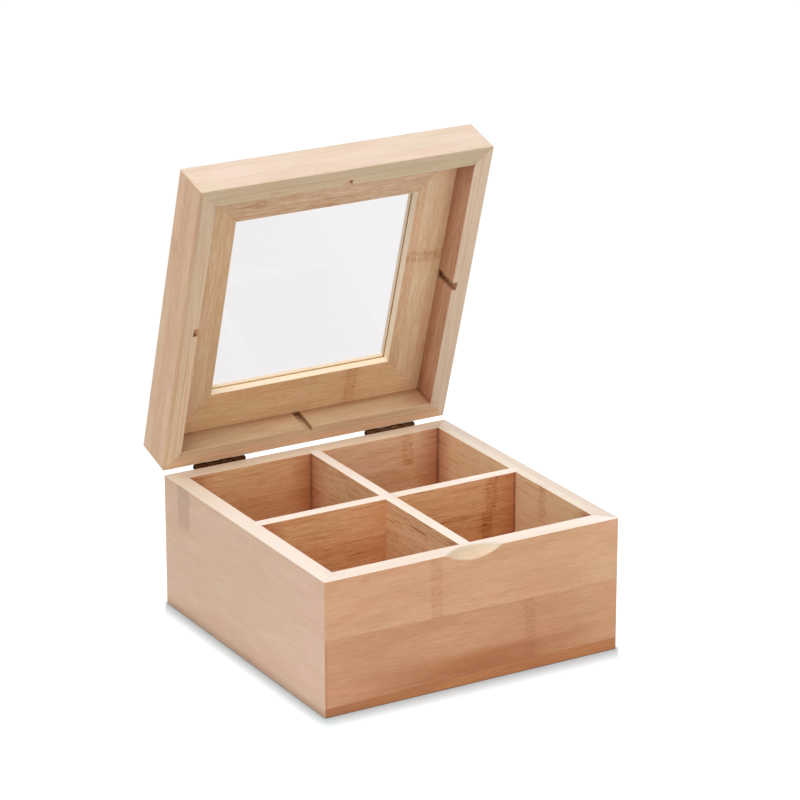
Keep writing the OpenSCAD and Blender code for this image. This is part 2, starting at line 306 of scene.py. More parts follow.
def make_ply_group():
    """One ply of bamboo, three strips wide. The strips meet at two seams, each at a height plus a
    slope along the grain. Every strip has its own tone and its own place along the grain for the
    ring of the culm: a faint band between two ragged lines, with specks in and beside it. Streaks
    and dark veins lie along the grain, and the colour drifts between pinkish and yellowish."""
    tree, (place, seams, slopes, tones, rings, tint, seed, streaks, ringing, veins) = new_group(
        "bamboo_ply",
        {"Place": (0, 0, 0), "Seams": (0, 0, 0), "Slopes": (0, 0, 0), "Tones": (0, 0, 0),
         "Rings": (0, 0, 0), "Tint": [1, 1, 1, 1], "Seed": 0.0, "Streaks": 1.0, "Ringing": 1.0,
         "Veins": 0.0},
        {"Color": list, "Height": float},
    )
    x, _, z = place.parts()
    seam_1, seam_2, _ = seams.parts()
    slope_1, slope_2, _ = slopes.parts()
    lane = add(tree, "CombineXYZ", [(0, x), (1, seed * 40)]).outputs[0]
    wander = stretched(Field(tree, lane), 34, 1, 1) * 0.5
    edge_1 = seam_1 + slope_1 * x + wander
    edge_2 = seam_2 + slope_2 * x + wander
    above_1 = z.over(edge_1)
    above_2 = z.over(edge_2)
    strip = above_1 + above_2

    # Each strip takes its streaks from another part of the noise
    shift = add(tree, "CombineXYZ", [(0, strip * 173 + seed * 91), (1, seed * 37), (2, strip * 29)])
    spot = add(tree, "VectorMath", [(0, place), (1, shift.outputs[0])], operation="ADD")
    spot = Field(tree, spot.outputs[0])
    cloud = stretched(spot, 38, 7, 3)
    bundle = stretched(spot, 15, 0.85, 4, 0.66)
    fibre = stretched(spot, 4.5, 0.3, 2, 0.6)
    dash = stretched(spot, 5, 0.45, 2).rise(0.15, 0.6)
    gleam = stretched(spot, 4.5, 0.4, 1).rise(-0.2, -0.6)
    vein = stretched(spot, 26, 1.0, 3, 0.6).rise(0.05, 0.42) * stretched(spot, 22, 5, 2).rise(-0.6, 0.2)

    ragged = stretched(spot, 900, 2.0, 4, 0.85) * 3.0
    off = abs(x - by_strip(rings, above_1, above_2) + ragged)
    patchy = stretched(spot, 5, 1.4, 2).rise(-0.25, 0.35)
    band = off.rise(4.2, 1.2)
    lines = off.near(2.2, 0.8) * patchy
    grit = stretched(spot, 1.4, 0.8, 2)
    specks = grit.rise(0.2, 0.42) * off.rise(4.5, 1.5) * patchy
    sparks = grit.rise(-0.15, -0.4) * off.rise(4.0, 1.0)
    ring = off.rise(9, 0) * 0.025 + band * 0.035 + lines * 0.06 + specks * 0.22 - sparks * 0.08

    near_seam = abs(z - edge_1).least(abs(z - edge_2))
    seam = near_seam.rise(0.3, 0.05) * stretched(spot, 25, 30, 2).rise(-0.4, 0.5) * 0.10
    tone = (
        by_strip(tones, above_1, above_2) + cloud * 0.10
        + (bundle * 0.15 + fibre * 0.13 - dash * 0.11 + gleam * 0.06) * streaks
        - ring * ringing - seam - vein * veins * 0.42
    )
    ramp = add(tree, "ValToRGB", [(0, tone)])
    stops = [
        (0.00, (0.14, 0.05, 0.018)), (0.25, (0.34, 0.135, 0.055)), (0.45, (0.50, 0.235, 0.115)),
        (0.60, (0.60, 0.33, 0.185)), (0.75, (0.68, 0.42, 0.265)), (1.00, (0.82, 0.62, 0.44)),
    ]
    while len(ramp.color_ramp.elements) < len(stops):
        ramp.color_ramp.elements.new(0.5)
    for element, (at, colour) in zip(ramp.color_ramp.elements, stops):
        element.position = at
        element.color = (*colour, 1)
    drift = blend_colours(tree, stretched(spot, 45, 12, 2).rise(-0.4, 0.4), pinkish, yellowish)
    colour = blend_colours(tree, 1.0, ramp.outputs[0], drift, "MULTIPLY")
    colour = blend_colours(tree, 1.0, colour, tint, "MULTIPLY")
    height = bundle * 0.010 + fibre * 0.008 - dash * 0.02 - specks * 0.05
    height = height - near_seam.rise(0.25, 0) * 0.03 - vein * veins * 0.02
    finish_group(tree, {"Color": colour, "Height": height})
    return tree


ply_group = make_ply_group()


def board_frame(side, reach, foot=0.0):
    """Matrix to a board's own axes from the box's, in millimetres. side is 0 for a board at the front,
    then right, back and left, reach its outer face's distance from the middle, foot its lowest z."""
    turn = Matrix.Rotation(-side * math.pi / 2, 4, "Z")
    return Matrix.Translation((0, reach, -foot)) @ turn


def place_on(tree, to_board):
    """Object coordinates in millimetres, carried to a board's own axes."""
    coordinates = add(tree, "TexCoord").outputs["Object"]
    mapping = add(tree, "Mapping", [
        ("Vector", coordinates), ("Location", to_board.translation),
        ("Rotation", to_board.to_euler("XYZ")), ("Scale", (MM, MM, MM)),
    ])
    return Field(tree, mapping.outputs[0])


def on_level(height, level=0.0):
    """1 where the height is within 0.06 mm of that level, falling to 0 at 0.30 mm from it."""
    return abs(height - level).rise(0.30, 0.06)


def on_outer_face(y):
    """1 on a board's outer face and just under it, falling to 0 at 0.4 mm."""
    return y.rise(0.4, 0.1)


def strips(seams=(none, none), slopes=(0, 0), tones=(0.5, 0.5, 0.5), rings=(none, none, none),
           tint=(1, 1, 1), streaks=1.0, ringing=1.0, veins=0.0):
    """How the strips of one ply lie, from the lowest up. A seam or ring at none is off the board."""
    return {"Seams": (*seams, 0), "Slopes": (*slopes, 0), "Tones": tones, "Rings": rings,
            "Tint": (*tint, 1), "Streaks": streaks, "Ringing": ringing, "Veins": veins}


rim_cream = (0.92, 0.84, 0.76, 1)
top_cream, top_share = (0.80, 0.64, 0.48, 1), 0.95
dark_glue = (0.30, 0.13, 0.06, 1)
# Painted shade, with some dust, for inner corners and joints, and a tint for broader painted shade towards
# the corners
shade_and_dust = (0.30, 0.10, 0.038, 1)
corner_shade_tint = (0.76, 0.58, 0.52, 1)


def bamboo_board(name, to_board, outer, inner, seed, half_length=None, ply_at=ply_line,
                 rims=(), rim_share=0.75, rim_colour=rim_cream, rim_inner=None, rim_lines=0.25,
                 rim_grain=0.0, rim_glue=0.22, corner_from=ply_line, corner_shade_share=0.0, extra=None):
    """Bamboo for one board: the outer ply up to the ply line, the inner one beyond it, a fine
    glue line where the mitred ends meet, painted shade with some dust in the inner corners and
    broader painted shade towards them, and pale sanded rims that show the layers lengthwise.
    A second rim is the lid's upper edge. extra adds what this board alone has."""
    material, tree, output = new_material(name)
    place = place_on(tree, to_board)
    x, y, z = place.parts()
    plies = []
    for number, facts in enumerate((outer, inner)):
        group = tree.nodes.new("ShaderNodeGroup")
        group.node_tree = ply_group
        plug(tree, group.inputs["Place"], place)
        group.inputs["Seed"].default_value = seed + 0.37 * number
        for label, value in facts.items():
            group.inputs[label].default_value = value
        plies.append([Field(tree, socket) for socket in group.outputs])
    inside = y.over(ply_at)
    colour = blend_colours(tree, inside, plies[0][0], plies[1][0])
    height = plies[0][1] + inside * (plies[1][1] - plies[0][1])
    # Painted shade, with some dust, close to the inner corners, and broader painted shade towards them
    inner_corner_shade = abs(abs(x) - inner_half).rise(1.6, 0.1) * y.over(corner_from)
    inner_corner_shade = inner_corner_shade * (stretched(place, 9, 4).rise(-0.6, 0.3) * 0.35 + 0.35)
    colour = blend_colours(tree, inner_corner_shade, colour, shade_and_dust)
    broad_corner_shade = abs(abs(x) - inner_half).rise(16, 1) * y.over(corner_from)
    colour = blend_colours(tree, broad_corner_shade * corner_shade_share, colour, corner_shade_tint, "MULTIPLY")
    rim_pale = blend_colours(tree, inside, rim_colour, rim_inner or rim_colour)
    for rim, pale, share in zip(rims, (rim_pale, top_cream), (rim_share, top_share)):
        on_rim = on_level(z, rim)
        # A broken dark line just under the rim on the outer face, where its eased edge begins
        under_rim_line = abs(abs(z - rim) - 0.8).rise(0.45, 0.1) * on_outer_face(y)
        under_rim_line = under_rim_line * stretched(place, 5, 40, 3).rise(-0.2, 0.5)
        colour = blend_colours(tree, under_rim_line * 0.28, colour, dark_glue)
        layers = stretched(place, 60, 0.6, 3, 0.7) * rim_lines + share
        colour = blend_colours(tree, on_rim * layers, colour, pale)
        fine = stretched(place, 45, 0.4, 3, 0.7).rise(-0.05, 0.45) * on_rim
        colour = blend_colours(tree, fine * rim_grain, colour, dark_glue)
        glue = abs(y - ply_at).rise(0.25, 0.05) * on_rim * stretched(place, 30, 9).rise(-0.5, 0.5)
        colour = blend_colours(tree, glue * rim_glue, colour, dark_glue)
    if half_length is not None:
        off_mitre = abs(half_length - abs(x) - y)
        colour = blend_colours(tree, off_mitre.rise(0.22, 0.05) * 0.25, colour, dark_glue)
    if extra is not None:
        colour = extra(tree, place, colour)
    bump = add(tree, "Bump", [("Height", height), ("Distance", 1 / MM)])
    shine = stretched(place, 20, 1.5) * 0.05 + 0.42
    surface = add(tree, "BsdfPrincipled", [
        ("Base Color", colour), ("Roughness", shine), ("Normal", bump.outputs[0]),
    ])
    plug(tree, output.inputs["Surface"], surface.outputs[0])
    return material


def finish_with(node, material):
    """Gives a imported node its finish."""
    mesh = frame["nodes"][node].data
    mesh.materials.clear()
    mesh.materials.append(material)


scoop_len, scoop_drop, scoop_reach = 30, 4.4, 6.2
scoop_tilt = math.atan(scoop_drop / scoop_reach)
scoop_sag = scoop_drop * math.cos(scoop_tilt)
scoop_r = ((scoop_len / 2) ** 2 + scoop_sag ** 2) / (2 * scoop_sag)
scoop_foot = (0.72, 0.57, 0.40, 1)
scoop_back = (0.57, 0.49, 0.365, 1)
low_left = (0.82, 0.66, 0.47, 1)
low_right = (0.925, 0.755, 0.495, 1)
low_seam, low_slope = 5.3, 0.011
line_slope = 0.05
deep_orange = (0.73, 0.49, 0.245, 1)
end_pale = (1.07, 1.11, 1.18, 1)
knot_brown = (0.80, 0.62, 0.48, 1)
knot_x, knot_z = -58.7, 64.2


def front_wall_marks(tree, place, colour):
    """What the front wall alone has. The middle strip deepens towards the low seam, with fine dark
    lines that climb to the right. The seam shows as a dark line with a bright one above it at the
    left, the mitre as a line low down at the left corner, and a faint knot lies high at the left.
    In the scoop the wood is pale: its surface is the cutter's radius away from the cutter's axis."""
    x, y, z = place.parts()
    seam_z = x * low_slope + low_seam
    above = (z - seam_z).rise(-0.3, 0.3)
    deepen = (z - seam_z).rise(14, 7.5) * x.near(3, 82) * above
    colour = blend_colours(tree, deepen, colour, deep_orange, "MULTIPLY")
    tilted = add(tree, "CombineXYZ", [(0, x), (1, y), (2, z - x * line_slope)])
    dark_lines = stretched(Field(tree, tilted.outputs[0]), 70, 0.6, 3, 0.7).rise(0.0, 0.3)
    dark_lines = dark_lines * (z - seam_z).rise(13, 5)
    colour = blend_colours(tree, dark_lines * deepen * 0.6, colour, dark_glue)
    colour = blend_colours(tree, x.rise(48, 78) * above, colour, end_pale, "MULTIPLY")
    low = blend_colours(tree, x.rise(-70, -30), low_left, low_right)
    colour = blend_colours(tree, 1 - above, colour, low, "MULTIPLY")
    corner_line = abs(x + box_half - 0.5).rise(0.6, 0.2) * z.rise(40, 34) * on_outer_face(y)
    colour = blend_colours(tree, corner_line * 0.35, colour, dark_glue)
    broken = x.near(-25, 55) * stretched(place, 9, 2).rise(-0.4, 0.3)
    colour = blend_colours(tree, (z - seam_z).near(0.3, 0.5) * broken * 0.5, colour, dark_glue)
    colour = blend_colours(tree, (z - seam_z).near(1.1, 0.4) * broken * 0.08, colour, rim_cream)
    knot = ((x - knot_x) * 0.25).math("POWER", 2) + ((z - knot_z) * 0.8).math("POWER", 2)
    speckled = stretched(place, 1.5, 0.7).rise(-0.3, 0.4)
    colour = blend_colours(tree, knot.rise(1, 0) * speckled, colour, knot_brown, "MULTIPLY")
    across = y * math.sin(scoop_tilt) - (z - base_h) * math.cos(scoop_tilt)
    axis_off = across + (scoop_r - scoop_sag)
    from_axis = (x * x + axis_off * axis_off).math("SQRT")
    in_scoop = (from_axis - scoop_r).rise(0.35, 0.12) * z.rise(50, 55)
    grain = stretched(place, 12, 0.8, 3).rise(-0.6, 0.8) * 0.35 + 0.55
    scooped = blend_colours(tree, z.rise(base_h - scoop_drop, base_h), scoop_foot, scoop_back)
    return blend_colours(tree, in_scoop * grain, colour, scooped)


veined_inside = dict(
    slopes=(0.01, 0), tones=(0.62, 0.68, 0.72), rings=(30, -40, 10), tint=(1.03, 0.99, 0.92),
    streaks=1.3, veins=0.8,
)
finish_with("front_wall", bamboo_board(
    "front_wall_bamboo", board_frame(0, box_half),
    outer=strips((low_seam, 37.2), (low_slope, -0.012), (0.38, 0.465, 0.565), (none, 30.8, -20.4),
                 (0.985, 1.0, 0.97), streaks=0.75, ringing=1.2),
    inner=strips((20, 46), **veined_inside),
    seed=1.0, half_length=box_half, rims=[base_h], corner_shade_share=0.8, extra=front_wall_marks,
))

# Side and back walls: boards like the front one. Each has a groove up the middle of its inner
# face for a divider's tongue. The left one is cut from paler bamboo, and painted shade from the lid
# darkens its rim to the back.
shaded_cream = (0.62, 0.50, 0.35, 1)
back_tan = (0.94, 0.945, 0.90, 1)
foot_shade_tan = (0.82, 0.80, 0.78, 1)
ring_tan = (0.81, 0.785, 0.765, 1)
ring_x, ring_inner, ring_outer = -59.4, 5.0, 7.4
ring_foot, ring_full = 44, 49


def left_wall_marks(tree, place, colour):
    """The face is a little browner at the back and in a broad ring high on it, and darker along the foot
    as painted shade. Painted shade from the open lid darkens the rim towards the back."""
    x, y, z = place.parts()
    on_face = on_outer_face(y)
    colour = blend_colours(tree, x.rise(70, -5) * on_face, colour, back_tan, "MULTIPLY")
    # Painted shade along the foot, by the table
    colour = blend_colours(tree, z.rise(6, 1) * on_face, colour, foot_shade_tan, "MULTIPLY")
    uneven = stretched(place, 900, 2.5, 4, 0.8) * 2.4
    broad_ring = abs(x - ring_x + uneven).rise(ring_outer, ring_inner) * on_face
    broad_ring = broad_ring * (z + uneven).rise(ring_foot, ring_full)
    streaky = stretched(place, 11, 1.2, 3).rise(-0.5, 0.3) * 0.3 + 0.76
    colour = blend_colours(tree, broad_ring * streaky, colour, ring_tan, "MULTIPLY")
    # Painted shade from the open lid, darkening the rim towards the back
    lid_shade_on_rim = x.rise(-5, -80) * on_level(z, base_h)
    return blend_colours(tree, lid_shade_on_rim * 0.7, colour, shaded_cream)


finish_with("left_wall", bamboo_board(
    "left_wall_bamboo", board_frame(3, box_half),
    outer=strips((3, 38.6), (0, 0), (0.68, 0.72, 0.70), (none, none, none), (1.00, 1.07, 1.25), 0.6),
    inner=strips((22, 44), **veined_inside),
    seed=2.0, half_length=box_half, rims=[base_h], corner_shade_share=0.8, extra=left_wall_marks,
))
right_cream = (0.76, 0.69, 0.61, 1)
pale_back_half = (1.12, 1.10, 1.11, 1)


def past_middle(place):
    """1 on a wall's inner face where x is over zero, and 0 on the other half and the rim."""
    x, y, z = place.parts()
    return y.over(ply_line) * z.rise(base_h - 0.1, base_h - 0.5) * x.over(0)


def right_wall_marks(tree, place, colour):
    """The inner face is paler in the back compartment."""
    return blend_colours(tree, past_middle(place), colour, pale_back_half, "MULTIPLY")


finish_with("right_wall", bamboo_board(
    "right_wall_bamboo", board_frame(1, box_half),
    outer=strips((14, 43), (0.01, 0), (0.6, 0.66, 0.55), (-30, none, 40)),
    inner=strips((24, 49), (0.02, 0), (0.92, 0.98, 1.0), (20, 30, -27), (1.08, 1.07, 0.93),
                 streaks=2.0, ringing=3.0, veins=0.8),
    seed=4.0, half_length=box_half, rims=[base_h], rim_colour=right_cream, corner_shade_share=1.0,
    extra=right_wall_marks,
))
# The back wall's rim is darker than the others: painted shade from the open lid
lid_shaded_back_cream = (0.72, 0.655, 0.53, 1)
left_half = (0.95, 0.85, 0.72, 1)


def back_wall_marks(tree, place, colour):
    """The inner face is browner in the left compartment, and darker still in the corner by the divider,
    as painted shade."""
    x, _, _ = place.parts()
    on_face = past_middle(place)
    colour = blend_colours(tree, on_face, colour, left_half, "MULTIPLY")
    colour = blend_colours(tree, x.rise(18, 3) * on_face * 0.9, colour, corner_shade_tint, "MULTIPLY")
    return blend_colours(tree, x.rise(4.6, 3) * on_face * 0.6, colour, shade_and_dust)


finish_with("back_wall", bamboo_board(
    "back_wall_bamboo", board_frame(2, box_half),
    outer=strips((12, 41), (0, 0.01), (0.55, 0.64, 0.6), (-30, 20, -44)),
    inner=strips((28, 50), (0.01, 0), (0.67, 0.75, 0.84), (none, none, -52.9), (1.06, 0.98, 0.88),
                 streaks=1.6, ringing=2.4, veins=0.5),
    seed=5.0, half_length=box_half, rims=[base_h], rim_share=0.6, rim_colour=lid_shaded_back_cream,
    corner_shade_share=1.0, extra=back_wall_marks,
))

# Bottom: a thin bamboo panel that lies in the rebate round the foot of the walls, glued in.
bottom_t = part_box("bottom_panel")[1].z * MM
lay_flat = Matrix.Rotation(math.radians(90), 4, "X")
bottom_strips = strips((-28, 22), (0.01, -0.01), (0.55, 0.6, 0.5), (20, -40, 50))
finish_with("bottom_panel", bamboo_board(
    "bottom_bamboo", Matrix.Translation((0, bottom_t, 0)) @ lay_flat,
    outer=bottom_strips, inner=bottom_strips, seed=8.0,
))

# Dividers: thin boards with pale top edges, halved over each other where they cross.
divider_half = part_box("cross_divider")[1].y * MM
divider_seams = dict(seams=(26, 50), slopes=(0.01, 0))
cross_tint, long_tint = (1.02, 0.81, 0.60), (1.08, 1.02, 0.88)
finish_with("cross_divider", bamboo_board(
    "cross_divider_bamboo", board_frame(0, divider_half),
    outer=strips(tones=(0.66, 0.76, 0.88), rings=(52, 54.5, 57), tint=cross_tint,
                 streaks=2.4, ringing=4.5, veins=0.9, **divider_seams),
    inner=strips(tones=(0.55, 0.6, 0.62), rings=(-20, 30, none), tint=long_tint,
                 streaks=1.5, veins=1.2, **divider_seams),
    seed=9.0, rims=[base_h], rim_share=0.85, ply_at=divider_half, corner_from=none, corner_shade_share=1.0,
))
finish_with("long_divider", bamboo_board(
    "long_divider_bamboo", board_frame(3, divider_half),
    outer=strips(tones=(0.74, 0.82, 0.90), rings=(-40, 36, -58), tint=long_tint,
                 streaks=2.8, veins=1.4, **divider_seams),
    inner=strips(tones=(0.52, 0.58, 0.62), rings=(20, -30, 12), tint=long_tint,
                 streaks=1.5, veins=1.2, **divider_seams),
    seed=10.0, rims=[base_h], rim_share=0.85, ply_at=divider_half, corner_from=none, corner_shade_share=1.0,
))

# Hinge leaves on the box: stamped brass, antiqued dark, lying flat on the back wall. Two of each
# leaf's four knuckles are its own, rolled round the pin, and two holes are countersunk for screws.
hinge = frame["joints"][0]
pivot = Vector(hinge["pos_m"]) * MM
leaf_low, leaf_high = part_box("right_hinge_base_leaf")
heads_low, heads_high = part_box("right_hinge_base_screws")
hinge_middle = (leaf_low.x + leaf_high.x) / 2 * MM
leaf_half = (leaf_high.x - leaf_low.x) / 2 * MM
leaf_reach = pivot.z - leaf_low.z * MM
barrel_r = leaf_high.y * MM - pivot.y
head_r = (heads_high.z - heads_low.z) / 2 * MM
screw_u = (heads_high.x - heads_low.x) / 2 * MM - head_r
screw_a = pivot.z - (heads_high.z + heads_low.z) / 2 * MM
wall_b = pivot.y - box_half
leaf_t = 0.6
face_b = wall_b - leaf_t
plate_from = barrel_r + 0.3
knuckle_gap = 0.4
knuckle_pitch = (2 * leaf_half + knuckle_gap) / 4
edge_ease = 0.15
corner_r = 1.5
bore_r = 1.2
bore_land = 0.06
head_air = 0.12
flat_round_hole = 0.8
curl_from, curl_overlap, curl_degrees = 0.3, 0.6, 300


def weld_mesh(name, sheets):
    """A mesh from grids of points in millimetres: one quad between four neighbours, welded where
    grids meet, with its faces outwards and its edges over 40 degrees kept crisp."""
    points, faces, start = [], [], 0
    for sheet in sheets:
        rows, columns = sheet.shape[:2]
        at = start + np.arange(rows * columns).reshape(rows, columns)
        quads = np.stack([at[:-1, :-1], at[1:, :-1], at[1:, 1:], at[:-1, 1:]], axis=-1)
        faces.append(quads.reshape(-1, 4))
        points.append(sheet.reshape(-1, 3) / MM)
        start += rows * columns
    mesh = bpy.data.meshes.new(name)
    mesh.from_pydata(np.concatenate(points).tolist(), [], np.concatenate(faces).tolist())
    shell = bmesh.new()
    shell.from_mesh(mesh)
    bmesh.ops.remove_doubles(shell, verts=shell.verts, dist=1e-6)
    bmesh.ops.recalc_face_normals(shell, faces=shell.faces)
    shell.to_mesh(mesh)
    shell.free()
    mesh.polygons.foreach_set("use_smooth", [True] * len(mesh.polygons))
    mesh.set_sharp_from_angle(angle=math.radians(40))
    return mesh


def leaf_plate():
    """The plate with its two holes, as grids of (u, a, b): u along the pin, a away from its axis, b
    towards the wall. One half is laid out in polar form round its hole: a ray at each angle runs to
    the outline, the nearer of its straight sides or the rounded far corner. The outline drawn in by
    the ease carries both faces, and a quarter round joins it to the side. The other half mirrors it."""
    corners = [(0, leaf_reach), (0, plate_from), (leaf_half, plate_from)]
    angles = [math.atan2(a - screw_a, u - screw_u) for u, a in corners]
    ray = np.sort(np.append(np.linspace(-math.pi, math.pi, 97), angles))
    ray_u, ray_a = np.cos(ray), np.sin(ray)
    with np.errstate(divide="ignore"):
        to_side = np.where(ray_u > 0, (leaf_half - screw_u) / ray_u, -screw_u / ray_u)
        to_end = np.where(ray_a > 0, (leaf_reach - screw_a) / ray_a, (plate_from - screw_a) / ray_a)
    reach = np.minimum(np.abs(to_side), np.abs(to_end))
    centre = np.array([leaf_half - corner_r, leaf_reach - corner_r])
    offset = centre - (screw_u, screw_a)
    ahead = offset[0] * ray_u + offset[1] * ray_a
    to_arc = ahead + np.sqrt(np.maximum(ahead ** 2 - offset @ offset + corner_r ** 2, 0))
    hit = np.stack([screw_u + reach * ray_u, screw_a + reach * ray_a], axis=-1)
    in_corner = (hit > centre).all(axis=-1)
    reach = np.where(in_corner, to_arc, reach)
    line = np.stack([screw_u + reach * ray_u, screw_a + reach * ray_a], axis=-1)
    drawn_in = np.stack([
        np.minimum(line[:, 0], leaf_half - edge_ease),
        np.clip(line[:, 1], plate_from + edge_ease, leaf_reach - edge_ease),
    ], axis=-1)
    shrunk = centre + (line - centre) * (corner_r - edge_ease) / corner_r
    drawn_in = np.where(in_corner[:, None], shrunk, drawn_in)

    def ring(radius, b):
        round_hole = (screw_u + radius * ray_u, screw_a + radius * ray_a, np.full_like(ray, b))
        return np.stack(round_hole, axis=-1)

    def level(outline, b):
        return np.concatenate([outline, np.full((len(ray), 1), b)], axis=1)

    wide = head_r + head_air
    hole = [ring(wide, face_b), ring(bore_r, wall_b - bore_land), ring(bore_r, wall_b)]
    front = [ring(wide, face_b), ring(wide + flat_round_hole, face_b), level(drawn_in, face_b)]
    back = [ring(bore_r, wall_b), level(drawn_in, wall_b)]
    ease = np.radians(np.linspace(0, 90, 4))
    rounds = [(drawn_in + (line - drawn_in) * math.sin(t), edge_ease * (1 - math.cos(t))) for t in ease]
    side = [level(place, face_b + drop) for place, drop in rounds]
    side += [level(place, wall_b - drop) for place, drop in reversed(rounds)]
    outside = (ray >= min(angles[1:])) & (ray <= angles[0])
    half = [np.stack(rows) for rows in (hole, front, back)] + [np.stack(side)[:, outside]]
    return half + [sheet * (-1, 1, 1) for sheet in half]


def swept(centres, normals, width, thickness, ease):
    """A bar with rounded edges: a section of that width along u and thickness along each normal, whose
    corners are quarter rounds, carried along the centres and drawn in to a point at both ends."""
    angle = np.radians(np.repeat([0, 90, 180, 270], 4) + np.tile([0, 30, 60, 90], 4))
    angle = np.append(angle, angle[0] + 2 * math.pi)
    quarter = np.append(np.repeat([45, 135, 225, 315], 4), 45)
    core_u = np.sign(np.cos(np.radians(quarter))) * (width / 2 - ease)
    core_n = np.sign(np.sin(np.radians(quarter))) * (thickness / 2 - ease)
    cores = np.ones(len(centres))
    rounds = np.full(len(centres), float(ease))
    centres = np.concatenate([centres[:1], centres[:1], centres, centres[-1:], centres[-1:]])
    normals = np.concatenate([normals[:1], normals[:1], normals, normals[-1:], normals[-1:]])
    cores = np.concatenate([[0, 1], cores, [1, 0]])[:, None]
    rounds = np.concatenate([[0, 0], rounds, [0, 0]])[:, None]
    off_u = cores * core_u + rounds * np.cos(angle)
    off_n = cores * core_n + rounds * np.sin(angle)
    return np.stack([
        off_u,
        centres[:, :1] + off_n * normals[:, :1],
        centres[:, 1:] + off_n * normals[:, 1:],
    ], axis=-1)


def knuckle(number):
    """One knuckle, counted from the left: a strip that leaves the plate, goes round the axis at the
    barrel's radius less half its thickness, and stops just short of the plate again."""
    curl_r = barrel_r - leaf_t / 2
    turned = np.radians(np.linspace(0, curl_degrees, 41))
    straight = np.linspace(plate_from + curl_overlap, curl_from, 5)
    leaves_b = np.interp(straight, [0, plate_from], [curl_r, (wall_b + face_b) / 2])
    path = np.stack([
        np.concatenate([straight, -curl_r * np.sin(turned)]),
        np.concatenate([leaves_b, curl_r * np.cos(turned)]),
    ], axis=-1)
    along = np.gradient(path, axis=0)
    along /= np.linalg.norm(along, axis=1)[:, None]
    normals = np.stack([-along[:, 1], along[:, 0]], axis=-1)
    strip = swept(path, normals, knuckle_pitch - knuckle_gap, leaf_t - 0.04, edge_ease)
    middle = (number - 1.5) * knuckle_pitch
    return strip + (middle, 0, 0)


def hinge_points(sheets, side, way, lid):
    """Grids of (u, a, b) set in millimetres of the box, on the left (-1) or right (1) hinge. way is
    -1 for a leaf that hangs down from the pin and 1 for one that stands up. What is on the lid turns
    with it."""
    placed = []
    for sheet in sheets:
        u, a, b = np.moveaxis(sheet, -1, 0)
        points = np.stack([side * hinge_middle + u, pivot.y - b, pivot.z + way * a], axis=-1)
        if lid:
            turn = np.array(to_closed.inverted())
            points = points @ turn[:3, :3].T + turn[:3, 3]
        placed.append(points)
    return placed


def set_in_place(name, sheets, body, node, material):
    """A new piece that rides on a body and stands for one of its nodes."""
    piece = bpy.data.objects.new(name, weld_mesh(name, sheets))
    bpy.context.scene.collection.objects.link(piece)
    piece.data.materials.append(material)
    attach(piece, body)
    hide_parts(node)


def antique_brass(name, dark, worn_and_glints, wear_from):
    """Brass darkened in a bath, rubbed back to warm metal in spots that also stand in for painted glints,
    with fine pits.
    """
    material, tree, output = new_material(name)
    coordinates = add(tree, "TexCoord").outputs["Object"]
    place = add(tree, "VectorMath", [(0, coordinates), (1, (MM, MM, MM))], operation="MULTIPLY")
    place = Field(tree, place.outputs[0])
    blotch = stretched(place, 4.5, 1.0, 3, 0.6)
    pits = stretched(place, 0.25, 0.25, 2)
    rubbed_and_glints = (blotch + pits * 0.3).rise(wear_from, wear_from + 0.35)
    colour = blend_colours(tree, rubbed_and_glints, dark, worn_and_glints)
    bump = add(tree, "Bump", [("Height", pits * 0.02 + blotch * 0.02), ("Distance", 1 / MM)])
    surface = add(tree, "BsdfPrincipled", [
        ("Base Color", colour), ("Metallic", 1.0), ("Roughness", blotch * 0.1 + 0.36),
        ("Normal", bump.outputs[0]),
    ])
    plug(tree, output.inputs["Surface"], surface.outputs[0])
    return material


open_angle = -math.radians(hinge["range_deg"][0])
to_closed = Matrix.Translation(pivot) @ Matrix.Rotation(open_angle, 4, "X") @ Matrix.Translation(-pivot)
hinge_sides = {"left": -1, "right": 1}
# The left hinge gets a darker copy of the brass and the right one a lighter, more rubbed copy: painted
# shade and painted highlights on the same metal
hinge_brass = {
    "left": antique_brass("left_hinge_brass_shaded", (0.054, 0.018, 0.006, 1), (0.22, 0.10, 0.045, 1), 0.2),
    "right": antique_brass("right_hinge_brass_lit", (0.078, 0.030, 0.012, 1), (0.19, 0.095, 0.05, 1), 0.05),
}
plate_grids = leaf_plate()
for label, side in hinge_sides.items():
    sheets = hinge_points(plate_grids + [knuckle(1), knuckle(3)], side, -1, False)
    set_in_place(
        f"{label}_box_leaf", sheets, "base", f"{label}_hinge_base_leaf", hinge_brass[label],
    )

# Hinge pins: drawn brass wire through all four knuckles, its ends peened into low domes.
pin_low, pin_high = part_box("right_hinge_pin")
pin_half = (pin_high.x - pin_low.x) / 2 * MM
press_gap = 0.01
pin_r = (pin_high.z - pin_low.z) / 2 * MM - press_gap
dome_air, dome_flare = 0.05, 0.35
pin_turns = np.radians(np.linspace(0, 360, 33))
pin_brass = antique_brass("pin_brass", (0.020, 0.008, 0.004, 1), (0.10, 0.05, 0.025, 1), 0.2)


def turned_round(along, radius):
    """A lathe shape: each distance along the axis has its radius, carried round a full turn."""
    along, radius = np.broadcast_arrays(along[:, None], radius[:, None] + 0 * pin_turns)
    return np.stack([along, radius * np.cos(pin_turns), radius * np.sin(pin_turns)], axis=-1)


